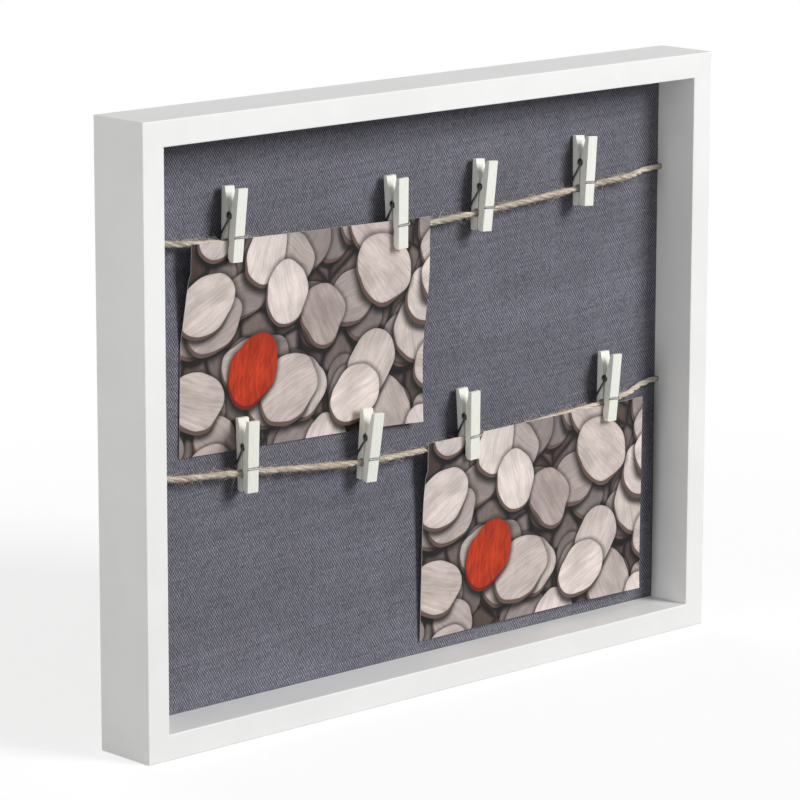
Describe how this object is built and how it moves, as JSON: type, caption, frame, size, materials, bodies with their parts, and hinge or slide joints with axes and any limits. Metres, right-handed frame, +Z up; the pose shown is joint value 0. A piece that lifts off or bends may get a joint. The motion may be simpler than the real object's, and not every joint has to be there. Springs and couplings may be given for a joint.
{
  "type": "multi-photo frame",
  "caption": "Deep white box frame with a fabric back panel, twines strung across it, and small spring pegs that hold photographic prints.",
  "frame": {"origin": "under the middle of the frame, on the surface that its bottom rail stands on", "axes": "+Z up, +X to the right seen from the front, the open front towards -Y"},
  "size_m": [0.375, 0.035, 0.3],
  "materials": {
    "white_paint": "satin white paint",
    "blue_grey_cloth": "plain weave",
    "hardboard": "pressed fibre",
    "zinc": "zinc plated",
    "jute": "two-ply twine",
    "white_wood": "matt white stain",
    "spring_steel": "drawn wire",
    "photo_paper": "semi-gloss print"
  },
  "bodies": {
    "frame": {"backing_board": "hardboard", "bottom_rail": "white_paint", "corner_nail_bottom_left": "zinc", "corner_nail_bottom_right": "zinc", "corner_nail_top_left": "zinc", "corner_nail_top_right": "zinc", "fabric_cover": "blue_grey_cloth", "hanger_side": "zinc", "hanger_side_rivet_a": "zinc", "hanger_side_rivet_b": "zinc", "hanger_top": "zinc", "hanger_top_rivet_a": "zinc", "hanger_top_rivet_b": "zinc", "left_rail": "white_paint", "point_bottom_a": "zinc", "point_bottom_b": "zinc", "point_left_a": "zinc", "point_left_b": "zinc", "point_right_a": "zinc", "point_right_b": "zinc", "point_top_a": "zinc", "point_top_b": "zinc", "right_rail": "white_paint", "top_rail": "white_paint", "twine_lower": "jute", "twine_upper": "jute"},
    "left_print": {"print_left": "photo_paper", "peg_1_rear_lever": "white_wood", "peg_1_spring": "spring_steel", "peg_2_rear_lever": "white_wood", "peg_2_spring": "spring_steel"},
    "peg_3": {"peg_3_rear_lever": "white_wood", "peg_3_spring": "spring_steel"},
    "peg_4": {"peg_4_rear_lever": "white_wood", "peg_4_spring": "spring_steel"},
    "peg_5": {"peg_5_rear_lever": "white_wood", "peg_5_spring": "spring_steel"},
    "peg_6": {"peg_6_rear_lever": "white_wood", "peg_6_spring": "spring_steel"},
    "right_print": {"print_right": "photo_paper", "peg_7_rear_lever": "white_wood", "peg_7_spring": "spring_steel", "peg_8_rear_lever": "white_wood", "peg_8_spring": "spring_steel"},
    "peg_1_lever": {"peg_1_front_lever": "white_wood"},
    "peg_2_lever": {"peg_2_front_lever": "white_wood"},
    "peg_3_lever": {"peg_3_front_lever": "white_wood"},
    "peg_4_lever": {"peg_4_front_lever": "white_wood"},
    "peg_5_lever": {"peg_5_front_lever": "white_wood"},
    "peg_6_lever": {"peg_6_front_lever": "white_wood"},
    "peg_7_lever": {"peg_7_front_lever": "white_wood"},
    "peg_8_lever": {"peg_8_front_lever": "white_wood"}
  },
  "joints": [
    {"name": "left_print_slide", "type": "slide", "parent": "frame", "child": "left_print", "axis": [0.9984, 0, -0.0569], "range_m": [-0.018, 0.013], "deforming": ["twine_upper"]},
    {"name": "peg_3_slide", "type": "slide", "parent": "frame", "child": "peg_3", "axis": [0.9988, 0, 0.0499], "range_m": [-0.016, 0.025], "deforming": ["twine_upper"]},
    {"name": "peg_4_slide", "type": "slide", "parent": "frame", "child": "peg_4", "axis": [0.998, 0, 0.0639], "range_m": [-0.025, 0.03], "deforming": ["twine_upper"]},
    {"name": "peg_5_slide", "type": "slide", "parent": "frame", "child": "peg_5", "axis": [0.9968, 0, -0.0797], "range_m": [-0.032, 0.025], "deforming": ["twine_lower"]},
    {"name": "peg_6_slide", "type": "slide", "parent": "frame", "child": "peg_6", "axis": [0.9992, 0, -0.04], "range_m": [-0.025, 0.022], "deforming": ["twine_lower"]},
    {"name": "right_print_slide", "type": "slide", "parent": "frame", "child": "right_print", "axis": [0.9987, 0, 0.0519], "range_m": [-0.012, 0.009], "deforming": ["twine_lower"]},
    {"name": "peg_1_open", "type": "hinge", "parent": "left_print", "child": "peg_1_lever", "pos_m": [-0.11937, -0.00082, 0.24834], "axis": [-0.9984, -0.036, 0.0436], "range_deg": [0, 22], "stiffness_Nm_per_rad": 0.05, "springref_deg": -22.92, "deforming": ["peg_1_spring"]},
    {"name": "peg_2_open", "type": "hinge", "parent": "left_print", "child": "peg_2_lever", "pos_m": [-0.01574, -0.00081, 0.24234], "axis": [-0.998, 0.0362, -0.0523], "range_deg": [0, 22], "stiffness_Nm_per_rad": 0.05, "springref_deg": -22.92, "deforming": ["peg_2_spring"]},
    {"name": "peg_3_open", "type": "hinge", "parent": "peg_3", "child": "peg_3_lever", "pos_m": [0.04291, -0.0006, 0.24435], "axis": [-0.9975, -0.0093, 0.0698], "range_deg": [0, 22], "stiffness_Nm_per_rad": 0.05, "springref_deg": -22.92, "deforming": ["peg_3_spring"]},
    {"name": "peg_4_open", "type": "hinge", "parent": "peg_4", "child": "peg_4_lever", "pos_m": [0.114, 0.00016, 0.24892], "axis": [-0.9967, 0.0215, 0.0784], "range_deg": [0, 22], "stiffness_Nm_per_rad": 0.05, "springref_deg": -22.92, "deforming": ["peg_4_spring"]},
    {"name": "peg_5_open", "type": "hinge", "parent": "peg_5", "child": "peg_5_lever", "pos_m": [-0.11149, -0.00079, 0.13715], "axis": [-0.9901, 0.1396, -0.0174], "range_deg": [0, 22], "stiffness_Nm_per_rad": 0.05, "springref_deg": -22.92, "deforming": ["peg_5_spring"]},
    {"name": "peg_6_open", "type": "hinge", "parent": "peg_6", "child": "peg_6_lever", "pos_m": [-0.03397, -0.00186, 0.13036], "axis": [-0.9945, 0.1018, 0.026], "range_deg": [0, 22], "stiffness_Nm_per_rad": 0.05, "springref_deg": -22.92, "deforming": ["peg_6_spring"]},
    {"name": "peg_7_open", "type": "hinge", "parent": "right_print", "child": "peg_7_lever", "pos_m": [0.03326, -0.00081, 0.13094], "axis": [-0.998, 0.0362, -0.0523], "range_deg": [0, 22], "stiffness_Nm_per_rad": 0.05, "springref_deg": -22.92, "deforming": ["peg_7_spring"]},
    {"name": "peg_8_open", "type": "hinge", "parent": "right_print", "child": "peg_8_lever", "pos_m": [0.1324, -0.00085, 0.13605], "axis": [-0.9991, 0.0252, 0.0349], "range_deg": [0, 22], "stiffness_Nm_per_rad": 0.05, "springref_deg": -22.92, "deforming": ["peg_8_spring"]}
  ]
}
